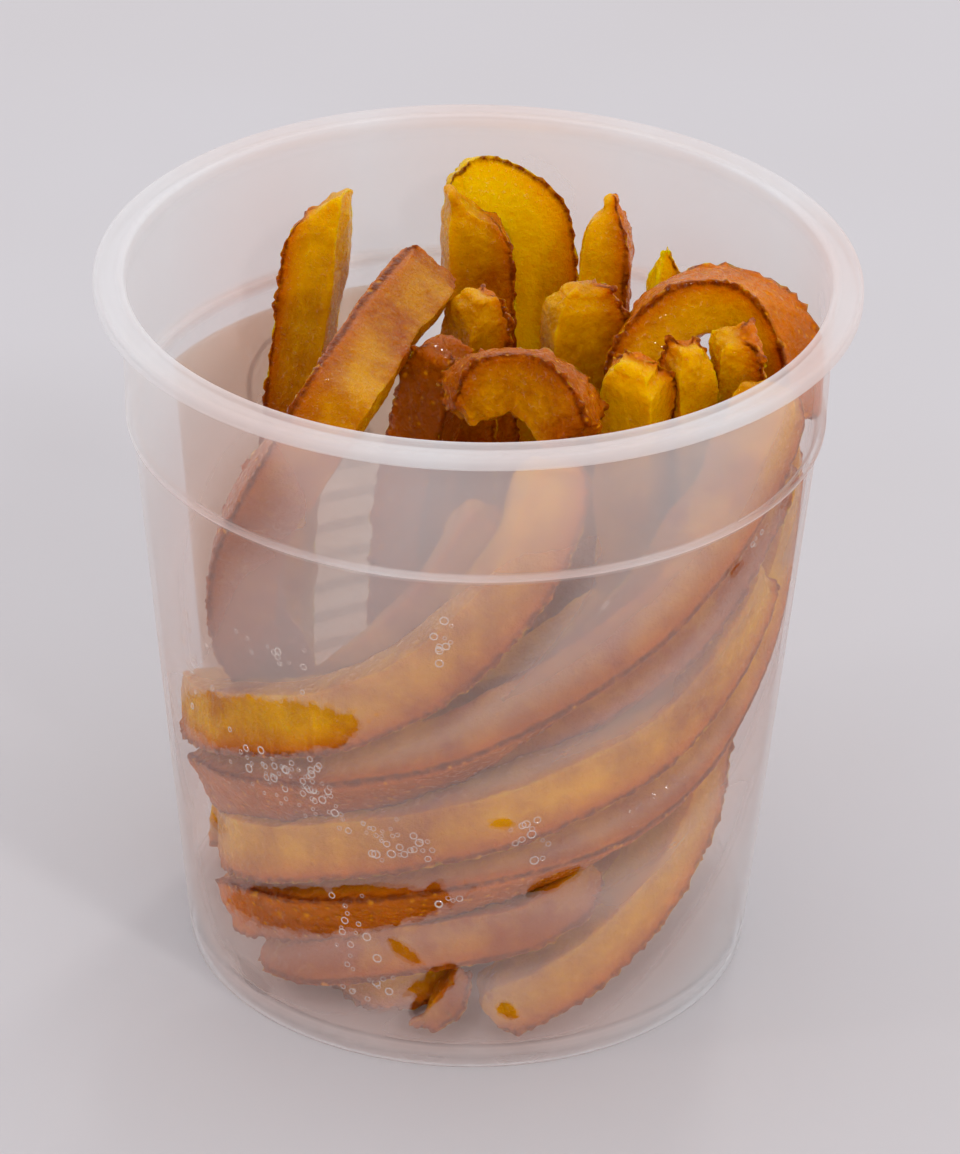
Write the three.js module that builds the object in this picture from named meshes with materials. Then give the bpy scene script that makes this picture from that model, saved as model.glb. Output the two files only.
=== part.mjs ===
// A clear polypropylene food tub of candied orange peel, open, with a blank paper label.
// Millimetres, +Z up. The origin is the centre of the foot, on the surface the tub stands on.
// Angles go round the tub from its front, -Y, towards the right, +X.
import * as THREE from 'three';
import { mergeVertices } from 'three/addons/utils/BufferGeometryUtils.js';

// ---- Driving sizes: the tub, from the foot up ----
const TUB_HEIGHT = 100;
const RIM_RADIUS = 50.5;
const MOUTH_RADIUS = 46.3;
const RIM_SKIRT = 2.2;
const RIM_LIP = 0.8;
const WALL = 0.7;
const FOOT_HEIGHT = 2;
const FLOOR_TOP = 2.8;
const FOOT_RADIUS = 38.3;
const STEP_HEIGHT = 79.5;
const STEP_DEPTH = 0.8;
const BODY_TOP_RADIUS = 45.6;
const BAND_FOOT_RADIUS = BODY_TOP_RADIUS + STEP_DEPTH;
const BAND_TOP_RADIUS = MOUTH_RADIUS + WALL - 0.1;
const TUB_SEGMENTS = 56;

// ---- The label, wrapped on the outside of the wall ----
const LABEL_LOW = 12;
const LABEL_HIGH = 75.5;
const LABEL_FROM = -168;
const LABEL_TO = -115;
const LABEL_THICKNESS = 0.35;
const LABEL_COLUMNS = 16;

// ---- The cut peel ----
const SIDES = 8;
const STATION_STEP = 7;
const NODE_STEP = 5.5;
const END_STATIONS = [0, 1.6, 4.2];
const END_SHAPES = { point: [0.3, 0.62, 0.9], round: [0.62, 0.88, 0.98], square: [0.88, 0.97, 1] };
const END_DOME = 0.5;
const SLANT_REACH = 9;
const CORNER_POWER = 0.55;
const RIND_FLARE = 0.07;
const CLEARANCE = 0.45;
const TOUCH_GAP = 0.3;
const PEEL_TOP = TUB_HEIGHT - 1;

// ---- How the pieces are eased apart ----
const PASSES = 260;
const FREE_PASSES = 60;
const STIFFNESS = 0.12;

const radians = THREE.MathUtils.degToRad;
const lerp = THREE.MathUtils.lerp;

// Outer radius of the tapered body below the step.
function bodyRadius(z) {
  return lerp(FOOT_RADIUS, BODY_TOP_RADIUS, z / STEP_HEIGHT);
}

// Inner radius of the wall at a height, taken at the flats of the faceted wall.
function innerRadius(z) {
  const band = z > STEP_HEIGHT + STEP_DEPTH;
  const climb = (z - STEP_HEIGHT) / (TUB_HEIGHT - STEP_HEIGHT);
  const outer = band ? lerp(BAND_FOOT_RADIUS, BAND_TOP_RADIUS, climb) : bodyRadius(z);
  return (outer - WALL) * Math.cos(Math.PI / TUB_SEGMENTS);
}

// A place inside the tub: angle round it, height, and inset from the inner wall.
function wall(angle, height, inset = 4.7) {
  const reach = innerRadius(height) - inset;
  return [reach * Math.sin(radians(angle)), -reach * Math.cos(radians(angle)), height];
}

// ---- Tub: one lathe, with a foot ring, a stacking step and a flanged rim ----
function tubProfile() {
  const footInner = FOOT_RADIUS - 1.1;
  const rimUnder = TUB_HEIGHT - RIM_LIP;
  const outline = [
    [0, FOOT_HEIGHT],
    [footInner - 0.8, FOOT_HEIGHT],
    [footInner, FOOT_HEIGHT - 0.8],
    [footInner, 0],
    [FOOT_RADIUS - 0.3, 0],
    [FOOT_RADIUS, 0.4],
    [bodyRadius(STEP_HEIGHT - 0.5), STEP_HEIGHT - 0.5],
    [BAND_FOOT_RADIUS - 0.15, STEP_HEIGHT],
    [BAND_FOOT_RADIUS, STEP_HEIGHT + 0.4],
    [BAND_TOP_RADIUS, rimUnder - 0.3],
    [BAND_TOP_RADIUS + 0.5, rimUnder],
    [RIM_RADIUS - RIM_LIP - 0.3, rimUnder],
    [RIM_RADIUS - RIM_LIP, rimUnder - 0.3],
    [RIM_RADIUS - RIM_LIP, TUB_HEIGHT - RIM_SKIRT],
    [RIM_RADIUS, TUB_HEIGHT - RIM_SKIRT],
    [RIM_RADIUS, TUB_HEIGHT - 0.5],
    [RIM_RADIUS - 0.5, TUB_HEIGHT],
    [MOUTH_RADIUS + 0.5, TUB_HEIGHT],
    [MOUTH_RADIUS, TUB_HEIGHT - 0.5],
    [BAND_FOOT_RADIUS - WALL, STEP_HEIGHT + STEP_DEPTH + 0.4],
    [BODY_TOP_RADIUS - WALL, STEP_HEIGHT + 0.3],
    [bodyRadius(FLOOR_TOP + 1.6) - WALL, FLOOR_TOP + 1.6],
    [bodyRadius(FLOOR_TOP) - WALL - 0.5, FLOOR_TOP + 0.5],
    [bodyRadius(FLOOR_TOP) - WALL - 1.6, FLOOR_TOP],
    [0, FLOOR_TOP],
  ];
  return outline.map(([r, z]) => new THREE.Vector2(r, z));
}

function makeTub() {
  const geometry = new THREE.LatheGeometry(tubProfile(), TUB_SEGMENTS);
  geometry.rotateX(Math.PI / 2);
  return geometry;
}

// ---- Label: a thin sheet bent round the cone of the body ----
function makeLabel() {
  const sheet = new THREE.BoxGeometry(1, 1, 1, LABEL_COLUMNS, 1, 1);
  const at = sheet.attributes.position;
  for (let i = 0; i < at.count; i += 1) {
    const angle = radians(lerp(LABEL_FROM, LABEL_TO, at.getX(i) + 0.5));
    const height = lerp(LABEL_LOW, LABEL_HIGH, at.getY(i) + 0.5);
    const radius = bodyRadius(height) + TOUCH_GAP + LABEL_THICKNESS * (at.getZ(i) + 0.5);
    at.setXYZ(i, radius * Math.sin(angle), -radius * Math.cos(angle), height);
  }
  return sheet;
}

// ---- The peel, each piece laid by hand: its path, the way its rind faces, its size and ends ----
// The rind faces the vectors given, spread evenly along the piece, or away from the tub's axis and
// rolled about the piece by the two angles given for its ends. hold says how firmly it keeps its path.
const PEEL = [
  // Up the left of the front wall, then over the heap towards the back.
  { path: [wall(-63, 35, 13), wall(-61, 48, 7), wall(-54, 62, 5), wall(-47, 74, 5), wall(-38, 84, 5),
    [-20, -32.5, 91.5], [-14.5, -22, 94], [-9.5, -8, 94.5], [-4, 8, 94]],
  rind: [[-0.97, 0, 0.1], [-0.97, 0.05, 0.15], [-0.9, 0.15, 0.3], [-0.8, 0.3, 0.5]],
  width: 7.4, depth: 9.2, ends: 'point square' },
  // The broad piece standing in the middle.
  { path: [[14, -4, 38], [14, -2, 56], [14.5, 1, 74], [14.6, 3, 86], [14.3, 4, 95.5]],
    rind: [[0.9, 0.3, 0.2]], width: 6.8, depth: 10.4, ends: 'square round' },
  // The first band across the front wall.
  { path: [wall(-80, 38), wall(-59, 41), wall(-37, 47), wall(-22, 53), wall(-10, 60), wall(0, 68),
    wall(7, 75, 5.4), wall(12, 82, 7), wall(16, 90, 9.5)],
  roll: [90, 90], width: 7.6, depth: 8.8, ends: 'square square' },
  // Two stubs left of the middle.
  { path: [[-9, -13, 44], [-9.5, -12, 60], [-10, -10, 76], [-10.3, -12, 88], [-10.6, -13.5, 95.5]],
    rind: [[-0.5, -0.85, 0]], width: 7.4, depth: 7, ends: 'square square' },
  { path: [[0, 1, 36], [-1, 1.5, 52], [-2.6, 2, 66], [-4, 3, 80], [-4.8, 4, 95.5]],
    rind: [[0.8, 0.6, 0]], width: 7, depth: 6.6, ends: 'square round' },
  // The tall pointed piece and the broad arch behind it.
  { path: [[4, 14, 24], [3, 18, 44], [1, 23, 64], [0, 27, 82], [-0.8, 29, 94.5]],
    rind: [[0.97, 0.2, 0]], width: 7.2, depth: 8.8, slant: 6.5, ends: 'square square' },
  { path: [[8.5, 27, 38], [8.7, 31, 56], [8.8, 33.5, 72], [8.6, 35.5, 82], [7.4, 36.5, 88.5],
    [4.6, 36.5, 92.3], [1, 36, 93.8], [-3, 35, 93.6]],
  rind: [[0.95, 0.3, 0], [0.95, 0.3, 0], [0.9, 0.35, 0.3], [0.2, 0.5, 0.85]],
  width: 6.2, depth: 9.4, ends: 'square round' },
  { path: [[16.5, 17, 48], [17, 21, 64], [17, 25, 80], [17.6, 27.5, 96.5]],
    rind: [[0.95, -0.1, 0]], width: 7, depth: 6.8, ends: 'square point' },
  // The short curl lying at the front of the mouth.
  { path: [[-1.8, -22.5, 91.5], [0.6, -20, 93.8], [5, -19, 94.3], [9.6, -21, 93], [12.5, -24.5, 89.5]],
    rind: [[-0.3, 0.4, 0.85], [0.3, 0.4, 0.85]], width: 8, depth: 8.6, ends: 'round square' },
  // Three stubs at the right.
  { path: [[22.5, -13.5, 55], [22, -13, 70], [21.5, -14, 84], [21, -16.5, 95.5]],
    rind: [[0.4, 0.9, 0.2]], width: 8.8, depth: 6.8, ends: 'square round' },
  { path: [[28.5, -9, 57], [29, -9.5, 72], [29, -10.5, 86], [28.4, -12.5, 95.5]],
    rind: [[-0.4, 0.9, 0]], width: 6.4, depth: 6.2, ends: 'square round' },
  { path: [[34, -8, 60], [35, -8, 74], [34.5, -10, 87], [33, -12, 95.5]],
    rind: [[0.95, 0.2, 0]], width: 6.6, depth: 6.2, ends: 'square square' },
  // The arch at the right, and the piece that runs behind the first band.
  { path: [[18.5, -2, 85], [21, 0, 90.5], [25.5, 2.5, 93.4], [31, 4, 94], [36.5, 2.5, 92.5], [40, -2, 89],
    [40.6, -6, 83.5]],
  rind: [[-0.8, 0.35, 0.5], [-0.1, 0.5, 0.85], [0.45, -0.1, 0.85], [0.75, -0.55, 0.35]],
  width: 9, depth: 7.6, ends: 'square square' },
  { path: [wall(-56, 47, 13), wall(-40, 53, 13), wall(-24, 60, 13), wall(-9, 69, 13.5), wall(2, 79, 14)],
    roll: [90, 90], width: 7.4, depth: 7.4, ends: 'square square', hold: 0.3 },
  { path: [[25.5, 17, 50], [25.5, 19.5, 66], [25.5, 20.5, 82], [25, 19, 93.5]],
    rind: [[0.9, 0.3, 0]], width: 4.8, depth: 4.4, ends: 'square point' },
  // The bands across the front wall below the first, from the top down.
  { path: [wall(-66, 26), wall(-46, 32), wall(-29, 38.5), wall(-14, 44.3), wall(0, 49.5),
    wall(10, 54), wall(20, 58.2), wall(28, 62), wall(36.5, 66.3), wall(47, 72.2), wall(56.5, 77.5),
    wall(66, 83.5), wall(72, 88.5)], roll: [20, 90], width: 8.6, depth: 7.6, ends: 'square square' },
  { path: [wall(-4, 42, 13), wall(8, 47, 12), wall(20, 51, 10.5), wall(31, 54.5, 8.5), wall(43, 58.5, 6.5),
    wall(55, 63, 6), wall(67, 70, 6), wall(78, 79, 6)],
  roll: [90, 90], width: 7.4, depth: 7, ends: 'square round' },
  { path: [wall(-66, 18, 6), wall(-48, 24.3), wall(-21, 33), wall(-6, 37.6), wall(11, 42), wall(21, 44.8),
    wall(39, 49.5), wall(49.4, 54.4), wall(58.3, 59.5), wall(68, 66)], roll: [90, 90], width: 7.8,
  depth: 8.4, ends: 'square square' },
  { path: [wall(-60, 11.5), wall(-33, 21), wall(-14, 26.8), wall(1, 30), wall(16, 32.4), wall(29, 34.4),
    wall(46, 39), wall(60, 45.5), wall(72, 54), wall(82, 64), wall(90, 75)],
  roll: [10, 90], width: 8, depth: 7.8, ends: 'square square' },
  { path: [wall(5, 7.6), wall(19, 12), wall(33, 18), wall(45, 24.5), wall(56, 33), wall(66, 43, 6),
    wall(74, 53, 9)], roll: [90, 90], width: 7.6, depth: 8, ends: 'square round' },
  { path: [wall(-52, 7), wall(-30, 12.5), wall(-14, 17.5), wall(1, 20.3), wall(15, 22.3), wall(28, 25, 9)],
    roll: [60, 90], width: 7.4, depth: 6.8, ends: 'square square' },
  { path: [wall(-42, 6.4, 10), wall(-28, 6.6), wall(-17, 7.6), wall(-9, 11, 8)],
    roll: [90, 90], width: 7, depth: 6, ends: 'round point' },
  { path: [wall(-11, 5.6, 3.4), wall(-5, 8, 3.4), wall(0, 12, 4)],
    roll: [90, 90], width: 4.4, depth: 4.4, ends: 'point round' },
  // The tall piece standing at the back left.
  { path: [[-25, 8, 12], [-26, 13, 28], [-26, 18, 42], [-25.6, 22, 56], [-24.4, 24.5, 68], [-22.8, 27, 82],
    [-21.3, 28.5, 94.5]],
  rind: [[-0.95, 0.3, 0]], width: 7.4, depth: 7.6, slant: 6.5, ends: 'round square' },
  // Pieces in the second layer and at the back, which the front ones lean on.
  { path: [wall(-50, 33, 13), wall(-22, 40, 13), wall(4, 45, 14), wall(24, 50, 14), wall(42, 57, 13)],
    roll: [90, 90], width: 7.6, depth: 7, ends: 'square square', hold: 0.3 },
  { path: [wall(-48, 16, 13), wall(-18, 22, 13), wall(8, 26, 13), wall(30, 31, 13), wall(48, 40, 12)],
    roll: [90, 90], width: 7.6, depth: 7.2, ends: 'square square', hold: 0.3 },
  { path: [[-19, -12, 7], [-8, -16, 8], [5, -17, 10], [16, -13, 15], [24, -6, 22]],
    roll: [90, 90], width: 7.6, depth: 7, ends: 'round square', hold: 0.2 },
  { path: [[-24, -2, 7.5], [-12, -3, 9], [2, -5, 12], [14, -2, 19], [24, 3, 29], [31, 8, 41]],
    roll: [90, 90], width: 7.8, depth: 7, ends: 'square square', hold: 0.2 },
  { path: [[-14, 10, 7.5], [-2, 8, 10], [10, 8, 17], [19, 11, 28], [26, 16, 42], [29, 19, 56]],
    rind: [[0.4, -0.6, -0.6]], width: 7.6, depth: 7.2, ends: 'square round', hold: 0.2 },
  { path: [wall(-100, 8), wall(-122, 10), wall(-146, 14), wall(-168, 20), wall(172, 30), wall(160, 42)],
    roll: [-90, -90], width: 7.6, depth: 7.2, ends: 'square square', hold: 0.3 },
  { path: [wall(-172, 7.4), wall(168, 13), wall(152, 22), wall(140, 34), wall(131, 48), wall(124, 64)],
    roll: [-90, -90], width: 7.8, depth: 7.4, ends: 'round square', hold: 0.3 },
  { path: [wall(150, 8), wall(136, 14), wall(124, 24), wall(115, 36), wall(109, 50), wall(105, 66),
    wall(101, 79)], roll: [-90, -90], width: 7.6, depth: 7.2, ends: 'square round', hold: 0.3 },
  { path: [wall(178, 46), wall(168, 54), wall(156, 62), wall(144, 70), wall(133, 78)],
    roll: [-90, -90], width: 7.6, depth: 7.2, ends: 'square square', hold: 0.3 },
  { path: [[18, 28, 30], [21, 28, 44], [23, 28, 58], [24.5, 28.5, 74]],
    rind: [[0.3, 0.9, 0]], width: 7.6, depth: 6.8, ends: 'square point', hold: 0.3 },
];

// A piece's centre line as evenly spaced nodes, with its rind directions beside them.
function strand(piece) {
  const corners = piece.path.map((p) => new THREE.Vector3(...p));
  const curve = new THREE.CatmullRomCurve3(corners, false, 'centripetal');
  const count = Math.max(3, Math.round(curve.getLength() / NODE_STEP));
  const nodes = curve.getSpacedPoints(count);
  return {
    ...piece,
    nodes,
    home: nodes.map((p) => p.clone()),
    step: curve.getLength() / count,
    hold: piece.hold ?? 1,
  };
}

function tangentAt(nodes, i) {
  const ahead = nodes[Math.min(i + 1, nodes.length - 1)];
  const behind = nodes[Math.max(i - 1, 0)];
  return ahead.clone().sub(behind).normalize();
}

// Which way the rind faces at a share u of the length: given outright, or rolled from outward.
function rindWish(piece, u, point, tangent) {
  if (piece.roll) {
    const turn = radians(lerp(piece.roll[0], piece.roll[1], u));
    const outward = new THREE.Vector3(point.x, point.y, 0).normalize();
    const sideways = tangent.clone().cross(outward).normalize();
    return outward.multiplyScalar(Math.cos(turn)).addScaledVector(sideways, Math.sin(turn));
  }
  const spread = u * (piece.rind.length - 1);
  const low = Math.floor(spread);
  const high = Math.min(low + 1, piece.rind.length - 1);
  return new THREE.Vector3(...piece.rind[low]).lerp(new THREE.Vector3(...piece.rind[high]), spread - low);
}

// A right-handed frame on the piece: across, rind and along.
function frameAt(piece, u, point, tangent) {
  const wish = rindWish(piece, u, point, tangent);
  const rind = wish.addScaledVector(tangent, -wish.dot(tangent)).normalize();
  return { across: rind.clone().cross(tangent), rind, along: tangent };
}

// The cut section: a rounded box, a little wider at the rind than at the pith.
function sectionPoint(piece, turn) {
  const soften = (v) => Math.sign(v) * Math.abs(v) ** CORNER_POWER;
  const b = soften(Math.sin(turn));
  const a = soften(Math.cos(turn)) * (1 + RIND_FLARE * b);
  return [a * piece.width / 2, b * piece.depth / 2];
}

function sectionOffsets(piece, frame) {
  const offsets = [];
  for (let k = 0; k < SIDES; k += 1) {
    const [a, b] = sectionPoint(piece, (k + 0.5) * 2 * Math.PI / SIDES);
    offsets.push(frame.across.clone().multiplyScalar(a).addScaledVector(frame.rind, b));
  }
  return offsets;
}

function support(offsets, direction) {
  return Math.max(...offsets.map((o) => o.dot(direction)));
}

// Closest points of two short segments, as shares along each.
function closestShares(p, q, r, s) {
  const d1 = q.clone().sub(p);
  const d2 = s.clone().sub(r);
  const gap = p.clone().sub(r);
  const a = d1.dot(d1);
  const e = d2.dot(d2);
  const b = d1.dot(d2);
  const c = d1.dot(gap);
  const f = d2.dot(gap);
  const clamp = (v) => Math.min(1, Math.max(0, v));
  const slope = a * e - b * b;
  let first = slope > 1e-6 ? clamp((b * f - c * e) / slope) : 0.5;
  let second = (b * first + f) / e;
  if (second < 0 || second > 1) {
    second = clamp(second);
    first = clamp((b * second - c) / a);
  }
  return [first, second];
}

// Pushes two crossing segments apart where their sections would meet.
function partSegments(one, i, two, j) {
  const [p, q, r, s] = [one.nodes[i], one.nodes[i + 1], two.nodes[j], two.nodes[j + 1]];
  const [u, v] = closestShares(p, q, r, s);
  const apart = p.clone().lerp(q, u).sub(r.clone().lerp(s, v));
  const distance = apart.length() || 1e-3;
  const direction = apart.multiplyScalar(-1 / distance);
  const reachOne = lerp(support(one.offsets[i], direction), support(one.offsets[i + 1], direction), u);
  const back = direction.clone().negate();
  const reachTwo = lerp(support(two.offsets[j], back), support(two.offsets[j + 1], back), v);
  const short = reachOne + reachTwo + CLEARANCE - distance;
  if (short <= 0) return;
  const shareOne = two.hold / (one.hold + two.hold);
  p.addScaledVector(direction, -short * shareOne * (1 - u));
  q.addScaledVector(direction, -short * shareOne * u);
  r.addScaledVector(direction, short * (1 - shareOne) * (1 - v));
  s.addScaledVector(direction, short * (1 - shareOne) * v);
}

function partStrands(one, two) {
  const reach = one.step / 2 + two.step / 2 + Math.hypot(one.width, one.depth) / 2
    + Math.hypot(two.width, two.depth) / 2 + 1;
  for (let i = 0; i + 1 < one.nodes.length; i += 1) {
    const middle = one.nodes[i].clone().add(one.nodes[i + 1]).multiplyScalar(0.5);
    for (let j = 0; j + 1 < two.nodes.length; j += 1) {
      const other = two.nodes[j].clone().add(two.nodes[j + 1]).multiplyScalar(0.5);
      if (middle.distanceToSquared(other) < reach * reach) partSegments(one, i, two, j);
    }
  }
}

// Keeps a piece at its own length, and gently straightens kinks.
function keepForm(piece) {
  const { nodes, step } = piece;
  for (let i = 0; i + 1 < nodes.length; i += 1) {
    const link = nodes[i + 1].clone().sub(nodes[i]);
    const error = (link.length() - step) / link.length() / 2;
    nodes[i].addScaledVector(link, error);
    nodes[i + 1].addScaledVector(link, -error);
  }
  for (let i = 1; i + 1 < nodes.length; i += 1) {
    const bend = nodes[i - 1].clone().add(nodes[i + 1]).multiplyScalar(0.5).sub(nodes[i]);
    const homeMiddle = piece.home[i - 1].clone().add(piece.home[i + 1]).multiplyScalar(0.5);
    const homeBend = homeMiddle.sub(piece.home[i]);
    nodes[i].addScaledVector(bend.sub(homeBend), STIFFNESS);
  }
}

// Keeps every corner of a piece inside the wall, above the floor and below the rim.
function keepInside(piece) {
  piece.nodes.forEach((node, i) => {
    for (const offset of piece.offsets[i]) {
      const corner = node.clone().add(offset);
      const excess = Math.hypot(corner.x, corner.y) + TOUCH_GAP - innerRadius(corner.z);
      if (excess > 0) {
        const outward = new THREE.Vector3(corner.x, corner.y, 0).normalize();
        node.addScaledVector(outward, -excess);
      }
      node.z += Math.max(0, FLOOR_TOP + 1.2 * TOUCH_GAP - corner.z);
      node.z -= Math.max(0, corner.z - PEEL_TOP);
    }
  });
}

function settle(strands) {
  for (let pass = 0; pass < PASSES; pass += 1) {
    const pull = pass < PASSES - FREE_PASSES ? 0.12 * (1 - pass / (PASSES - FREE_PASSES)) : 0;
    for (const piece of strands) {
      piece.nodes.forEach((node, i) => node.lerp(piece.home[i], pull * piece.hold));
      keepForm(piece);
      piece.offsets = piece.nodes.map((node, i) => {
        const along = tangentAt(piece.nodes, i);
        return sectionOffsets(piece, frameAt(piece, i / (piece.nodes.length - 1), node, along));
      });
    }
    for (let a = 0; a < strands.length; a += 1) {
      for (let b = a + 1; b < strands.length; b += 1) partStrands(strands[a], strands[b]);
    }
    strands.forEach(keepInside);
  }
}

// Distances along a piece where it has a ring of corners, closer together near its two ends.
function stations(length) {
  const last = END_STATIONS[END_STATIONS.length - 1];
  const inner = Math.max(1, Math.round((length - 2 * last) / STATION_STEP));
  const middle = [];
  for (let i = 1; i < inner; i += 1) middle.push(lerp(last, length - last, i / inner));
  return [...END_STATIONS, ...middle, ...END_STATIONS.map((d) => length - d).reverse()];
}

function endScale(shape, distance) {
  const near = END_STATIONS.findIndex((d) => Math.abs(d - distance) < 1e-6);
  return near < 0 ? 1 : END_SHAPES[shape][near];
}

// One piece of peel: a closed prism, bent along its centre line and tapered at its ends.
function makePeel(piece) {
  const curve = new THREE.CatmullRomCurve3(piece.nodes, false, 'centripetal');
  const length = curve.getLength();
  const places = stations(length);
  const [startShape, endShape] = piece.ends.split(' ');
  const slant = piece.slant ?? 0;
  const rings = places.map((distance) => {
    const u = distance / length;
    const centre = curve.getPointAt(u);
    const frame = frameAt(piece, u, centre, curve.getTangentAt(u));
    const scale = Math.min(endScale(startShape, distance), endScale(endShape, length - distance));
    const lean = slant * Math.max(0, 1 - (length - distance) / SLANT_REACH);
    return { centre, frame, scale, lean };
  });
  const prism = new THREE.CylinderGeometry(1, 1, 1, SIDES, places.length - 1, false, Math.PI / SIDES);
  const at = prism.attributes.position;
  for (let i = 0; i < at.count; i += 1) {
    const level = Math.round((at.getY(i) + 0.5) * (places.length - 1));
    const { centre, frame, scale, lean } = rings[level];
    const onAxis = Math.hypot(at.getX(i), at.getZ(i)) < 0.5;
    const [a, b] = onAxis ? [0, 0] : sectionPoint(piece, Math.atan2(at.getX(i), at.getZ(i)));
    const dome = onAxis ? Math.sign(at.getY(i)) * END_DOME : 0;
    const corner = centre.clone().addScaledVector(frame.across, a * scale)
      .addScaledVector(frame.rind, b * scale)
      .addScaledVector(frame.along, dome - lean * b / piece.depth);
    at.setXYZ(i, corner.x, corner.y, corner.z);
  }
  return prism;
}

// ---- Materials, one for each kind of stuff ----
const clearPlastic = new THREE.MeshStandardMaterial({
  color: 0xe2dee6, roughness: 0.25, metalness: 0, transparent: true, opacity: 0.35, side: THREE.DoubleSide,
});
const labelPaper = new THREE.MeshStandardMaterial({ color: 0xe6ddd2, roughness: 0.7, metalness: 0 });
const candiedPeel = new THREE.MeshStandardMaterial({ color: 0xb96a10, roughness: 0.3, metalness: 0 });

function mesh(name, geometry, material) {
  geometry.deleteAttribute('normal');
  geometry.deleteAttribute('uv');
  const merged = mergeVertices(geometry, 1e-4);
  merged.computeVertexNormals();
  const piece = new THREE.Mesh(merged, material);
  piece.name = name;
  return piece;
}

const tubOfPeel = new THREE.Group();
tubOfPeel.add(mesh('tub', makeTub(), clearPlastic));
tubOfPeel.add(mesh('label', makeLabel(), labelPaper));

const strands = PEEL.map(strand);
settle(strands);
strands.forEach((piece, i) => {
  const name = `peel_${String(i + 1).padStart(2, '0')}`;
  tubOfPeel.add(mesh(name, makePeel(piece), candiedPeel));
});

export default tubOfPeel;
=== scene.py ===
"""Looks for an open clear tub of candied orange peel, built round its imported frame.

Lengths in the code are metres; fields that end in _mm are millimetres.
Angles round the tub go from its front, -Y, towards the right, +X, in degrees.
"""
import itertools
import logging
import math
from dataclasses import dataclass, field
from enum import Enum
from typing import Any, Sequence

import bmesh
import bpy
import numpy as np
from mathutils import Matrix, Vector
from mathutils.kdtree import KDTree


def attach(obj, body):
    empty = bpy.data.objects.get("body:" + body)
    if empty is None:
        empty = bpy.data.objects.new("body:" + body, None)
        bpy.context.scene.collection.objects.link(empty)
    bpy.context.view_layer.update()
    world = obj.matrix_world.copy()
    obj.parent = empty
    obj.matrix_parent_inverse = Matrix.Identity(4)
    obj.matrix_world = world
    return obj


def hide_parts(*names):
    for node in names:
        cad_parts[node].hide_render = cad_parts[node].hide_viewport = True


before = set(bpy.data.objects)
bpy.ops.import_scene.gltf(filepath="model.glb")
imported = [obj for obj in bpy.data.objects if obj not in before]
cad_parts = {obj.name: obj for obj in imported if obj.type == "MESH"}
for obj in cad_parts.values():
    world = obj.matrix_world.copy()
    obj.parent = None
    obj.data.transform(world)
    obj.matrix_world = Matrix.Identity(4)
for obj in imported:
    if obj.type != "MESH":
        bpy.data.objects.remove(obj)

logging.basicConfig(level=logging.INFO, format="%(message)s")
log = logging.getLogger("candied_peel")

MM = 0.001
Tree = bpy.types.NodeTree
Socket = bpy.types.NodeSocket
Material = bpy.types.Material
Mesh = bpy.types.Mesh
Form = bmesh.types.BMesh
Piece = bpy.types.Object
Ring = list[bmesh.types.BMVert]
Pair = tuple[float, float]
PEEL_NODES = sorted(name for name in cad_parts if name.startswith("peel_"))


class Slot(Enum):
    """The record's material slots."""

    TUB = "clear_tub"
    LABEL = "label_paper"
    PEEL = "candied_peel"


# ---------------- small tools


def linear(code: str) -> tuple[float, float, float, float]:
    """Turns an sRGB hex colour into linear light.

    Args:
        code: six hex digits, with or without a leading #.

    Returns:
        Red, green, blue and an alpha of one.
    """
    digits = code.lstrip("#")
    parts = [int(digits[i : i + 2], 16) / 255 for i in (0, 2, 4)]
    light = [p / 12.92 if p <= 0.04045 else ((p + 0.055) / 1.055) ** 2.4 for p in parts]
    return (light[0], light[1], light[2], 1.0)


def add_node(tree: Tree, kind: str, inputs: dict | None = None, **settings: Any) -> bpy.types.Node:
    """Adds one node, sets it up and links it.

    Args:
        tree: the material's or world's node tree.
        kind: the node's type name.
        inputs: values or output sockets by input name or number.
        settings: the node's own properties.

    Returns:
        The new node.
    """
    node = tree.nodes.new(kind)
    for name, value in settings.items():
        setattr(node, name, value)
    for key, value in (inputs or {}).items():
        socket = node.inputs[key]
        if isinstance(value, bpy.types.NodeSocket):
            tree.links.new(value, socket)
        else:
            socket.default_value = value
    return node


def new_material(name: str) -> tuple[Material, Tree]:
    """Starts an empty node material.

    Args:
        name: the real material and how it was made.

    Returns:
        The material and its empty node tree.
    """
    material = bpy.data.materials.new(name)
    material.use_nodes = True
    material.node_tree.nodes.clear()
    return material, material.node_tree


def ramp(tree: Tree, factor: Socket, stops: Sequence[tuple[float, str]]) -> Socket:
    """Colours a factor by a row of stops.

    Args:
        tree: the node tree.
        factor: the socket that picks the place on the ramp.
        stops: places from 0 to 1 with their sRGB hex colours.

    Returns:
        The colour output.
    """
    node = add_node(tree, "ShaderNodeValToRGB", {0: factor})
    elements = node.color_ramp.elements
    while len(elements) < len(stops):
        elements.new(0.5)
    for element, (place, code) in zip(elements, stops):
        element.position = place
        element.color = linear(code)
    return node.outputs[0]


# Large odd numbers that scatter the cells of the noise, and how far apart its patterns lie.
SCATTER = (374761393, 668265263, 2147483647, 69069)
SCRAMBLE = 1274126177
WORD = 0xFFFFFFFF
PATTERN_STEP = 17.31


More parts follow.
